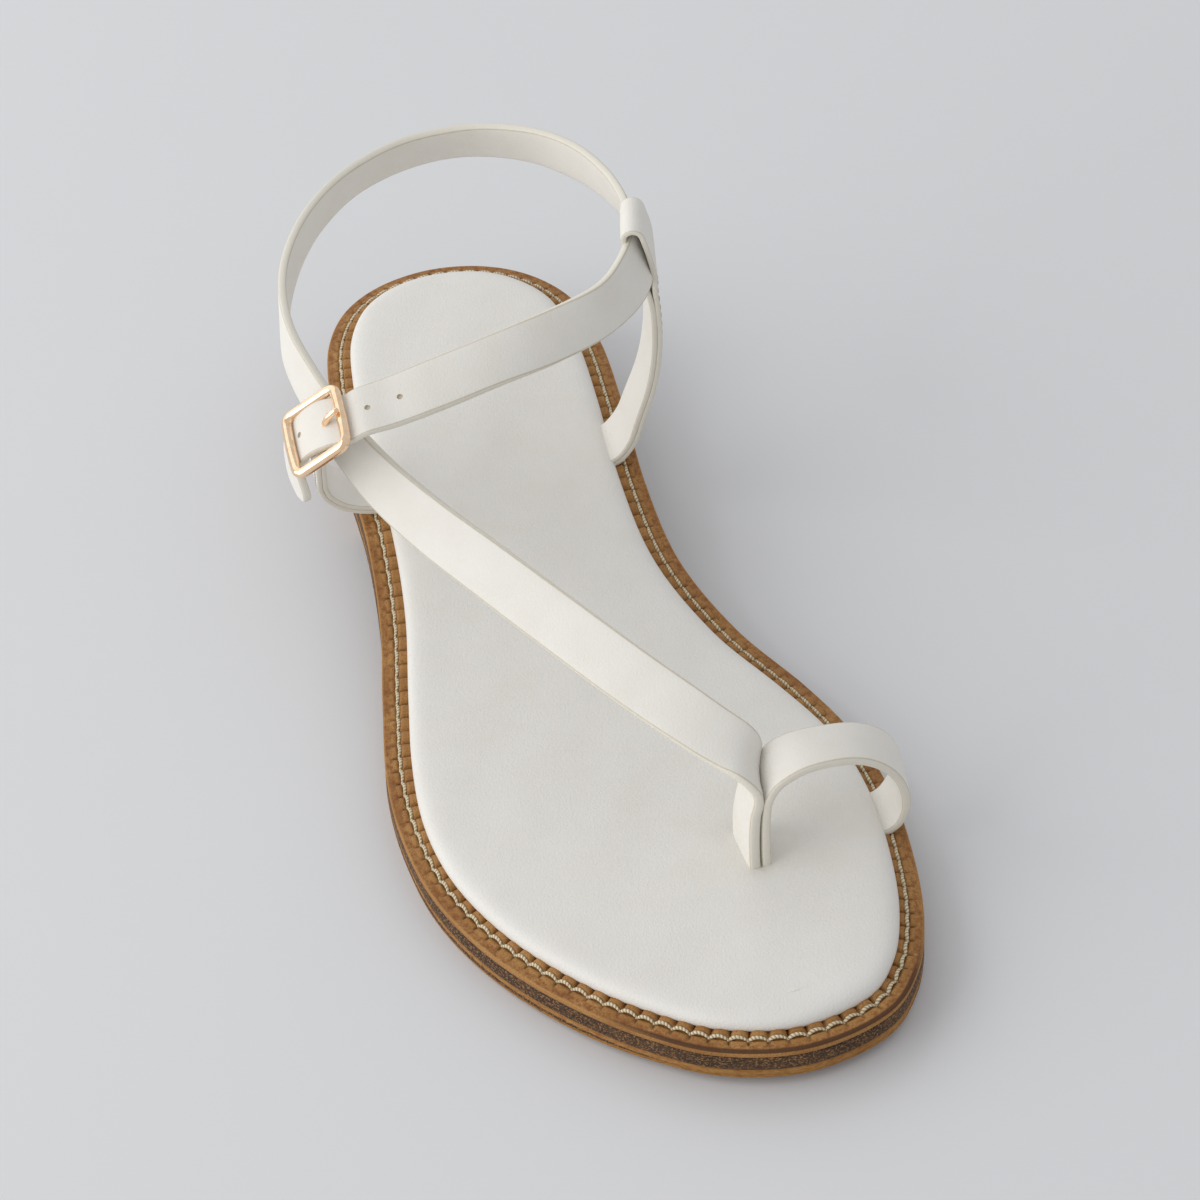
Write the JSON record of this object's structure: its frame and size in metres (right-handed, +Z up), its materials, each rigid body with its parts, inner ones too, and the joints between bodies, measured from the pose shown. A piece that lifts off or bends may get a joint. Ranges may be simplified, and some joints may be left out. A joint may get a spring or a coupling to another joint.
{
  "type": "strappy flat sandal",
  "caption": "Flat right-foot sandal: a toe ring and a diagonal instep strap that wraps the ankle through side loops to a pin buckle, on a stitched layered sole with a low stacked heel",
  "frame": {"origin": "on the floor under the middle of the sandal's bounding box", "axes": "+Z up, +Y towards the heel along the foot, +X towards the inner side of the right foot"},
  "size_m": [0.1032, 0.2522, 0.0817],
  "materials": {
    "white_leather": "smooth matte white leather with painted cream edges",
    "insole_leather": "fine-grained white leather over padding",
    "tan_welt": "tan leather with cream stitching",
    "brown_sole": "moulded sole with a stacked-leather look, matte",
    "brown_heel": "moulded heel with a stacked-leather look, matte",
    "ochre_rubber": "matte ochre rubber",
    "rose_gold": "polished rose gold plating",
    "rose_gold_prong": "polished rose gold plating"
  },
  "bodies": {
    "root": {"upper": "white_leather", "insole": "insole_leather", "welt": "tan_welt", "outsole": "brown_sole", "heel_stack": "brown_heel", "heel_lift": "ochre_rubber", "buckle_frame": "rose_gold", "buckle_prong": "rose_gold_prong"}
  },
  "joints": []
}
